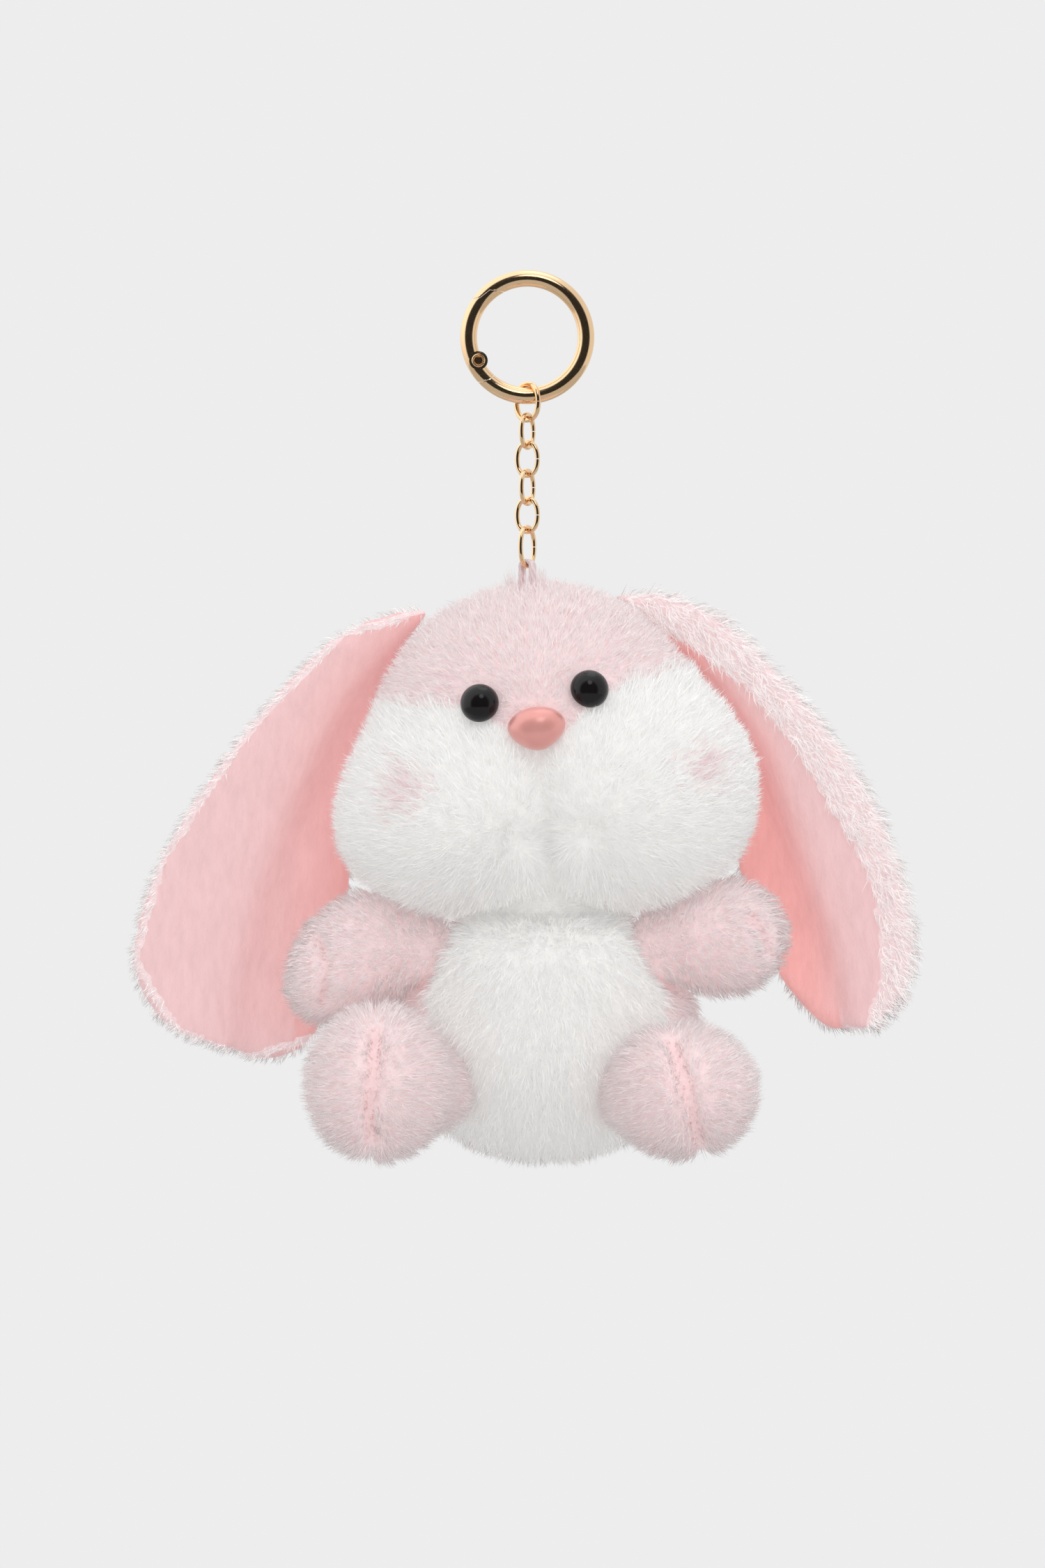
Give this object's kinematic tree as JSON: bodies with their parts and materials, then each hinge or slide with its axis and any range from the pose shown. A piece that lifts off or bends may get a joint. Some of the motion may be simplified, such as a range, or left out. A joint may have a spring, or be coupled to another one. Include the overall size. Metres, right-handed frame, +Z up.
{
  "type": "plush keychain",
  "caption": "Plush lop-eared rabbit, stuffed and pile-covered, hung on a short oval-link chain from a spring-gate ring for bags and keys.",
  "frame": {"origin": "top of the gate ring's opening, where a hook or strap carries the keychain", "axes": "+Z up, +X to the right of someone facing the rabbit, face towards -Y"},
  "size_m": [0.1612, 0.0777, 0.1848],
  "materials": {
    "gold": "polished",
    "tape": "matte",
    "pink_plush": "matte",
    "white_plush": "matte",
    "ear_lining": "matte",
    "stuffing": "matte",
    "black_plastic": "gloss",
    "pearl_pink": "satin",
    "white_plastic": "matte"
  },
  "bodies": {
    "ring": {"ring_body": "gold", "gate_pin": "gold"},
    "gate": {"ring_gate": "gold", "gate_spring": "gold"},
    "top_ring": {"top_ring": "gold"},
    "link_1": {"link_1": "gold"},
    "link_2": {"link_2": "gold"},
    "link_3": {"link_3": "gold"},
    "link_4": {"link_4": "gold"},
    "end_ring": {"end_ring": "gold"},
    "head": {"hanging_loop": "tape", "head_face": "pink_plush", "muzzle_left": "white_plush", "muzzle_right": "white_plush", "head_back_left": "pink_plush", "head_back_right": "pink_plush", "head_stuffing": "stuffing", "eye_left": "black_plastic", "eye_right": "black_plastic", "nose": "pearl_pink", "eye_left_washer": "white_plastic", "eye_right_washer": "white_plastic", "nose_washer": "white_plastic"},
    "torso": {"belly": "white_plush", "body_left": "pink_plush", "body_right": "pink_plush", "body_stuffing": "stuffing", "tail": "white_plush", "tail_stuffing": "stuffing"},
    "ear_left": {"ear_left_lining": "ear_lining", "ear_left_plush": "pink_plush"},
    "arm_left": {"arm_left_inner": "pink_plush", "arm_left_outer": "pink_plush", "arm_left_stuffing": "stuffing"},
    "leg_left": {"leg_left_inner": "pink_plush", "leg_left_outer": "pink_plush", "leg_left_stuffing": "stuffing"},
    "ear_right": {"ear_right_lining": "ear_lining", "ear_right_plush": "pink_plush"},
    "arm_right": {"arm_right_inner": "pink_plush", "arm_right_outer": "pink_plush", "arm_right_stuffing": "stuffing"},
    "leg_right": {"leg_right_inner": "pink_plush", "leg_right_outer": "pink_plush", "leg_right_stuffing": "stuffing"}
  },
  "joints": [
    {"name": "gate_open", "type": "hinge", "parent": "ring", "child": "gate", "pos_m": [-0.0102, 0, -0.01548], "axis": [0, 1, 0], "range_deg": [0, 28], "stiffness_Nm_per_rad": 0.01, "springref_deg": -20.05},
    {"name": "top_ring_swing", "type": "hinge", "parent": "ring", "child": "top_ring", "pos_m": [0, 0, -0.02275], "axis": [1, 0, 0], "range_deg": [-25, 25]},
    {"name": "link_1_swing", "type": "hinge", "parent": "top_ring", "child": "link_1", "pos_m": [0, 0, -0.02786], "axis": [0.6428, -0.766, 0], "range_deg": [-25, 25]},
    {"name": "link_2_swing", "type": "hinge", "parent": "link_1", "child": "link_2", "pos_m": [0, 0, -0.03362], "axis": [0.5, 0.866, 0], "range_deg": [-25, 25]},
    {"name": "link_3_swing", "type": "hinge", "parent": "link_2", "child": "link_3", "pos_m": [0, 0, -0.03948], "axis": [0.866, -0.5, 0], "range_deg": [-25, 25]},
    {"name": "link_4_swing", "type": "hinge", "parent": "link_3", "child": "link_4", "pos_m": [0, 0, -0.04534], "axis": [0.5, 0.866, 0], "range_deg": [-25, 25]},
    {"name": "end_ring_swing", "type": "hinge", "parent": "link_4", "child": "end_ring", "pos_m": [0, 0, -0.0512], "axis": [0.866, -0.5, 0], "range_deg": [-25, 25]},
    {"name": "rabbit_swing", "type": "hinge", "parent": "end_ring", "child": "head", "pos_m": [0, 0, -0.05846], "axis": [0.5, 0.866, 0], "range_deg": [-25, 25]},
    {"name": "neck_nod", "type": "hinge", "parent": "head", "child": "torso", "pos_m": [0.0034, 0.0049, -0.129], "axis": [1, 0, 0], "range_deg": [-8, 8], "stiffness_Nm_per_rad": 0.15},
    {"name": "ear_left_lift", "type": "hinge", "parent": "head", "child": "ear_left", "pos_m": [-0.0202, 0.0029, -0.067], "axis": [0, 1, 0], "range_deg": [-2, 35], "stiffness_Nm_per_rad": 0.04, "springref_deg": 1.72},
    {"name": "ear_right_lift", "type": "hinge", "parent": "head", "child": "ear_right", "pos_m": [0.0174, 0.0029, -0.0646], "axis": [0, -1, 0], "range_deg": [-2, 35], "stiffness_Nm_per_rad": 0.04, "springref_deg": 1.15},
    {"name": "arm_left_swing", "type": "hinge", "parent": "torso", "child": "arm_left", "pos_m": [-0.0217, -0.0011, -0.1388], "axis": [0, 0, 1], "range_deg": [-16, 18], "stiffness_Nm_per_rad": 0.04},
    {"name": "arm_right_swing", "type": "hinge", "parent": "torso", "child": "arm_right", "pos_m": [0.0278, -0.0021, -0.1382], "axis": [0, 0, -1], "range_deg": [-16, 18], "stiffness_Nm_per_rad": 0.04},
    {"name": "leg_left_swing", "type": "hinge", "parent": "torso", "child": "leg_left", "pos_m": [-0.0207, -0.0116, -0.166], "axis": [-1, 0, 0], "range_deg": [-12, 12], "stiffness_Nm_per_rad": 0.06, "springref_deg": 0.69},
    {"name": "leg_right_swing", "type": "hinge", "parent": "torso", "child": "leg_right", "pos_m": [0.0243, -0.0116, -0.167], "axis": [-1, 0, 0], "range_deg": [-12, 12], "stiffness_Nm_per_rad": 0.06, "springref_deg": 0.69}
  ]
}
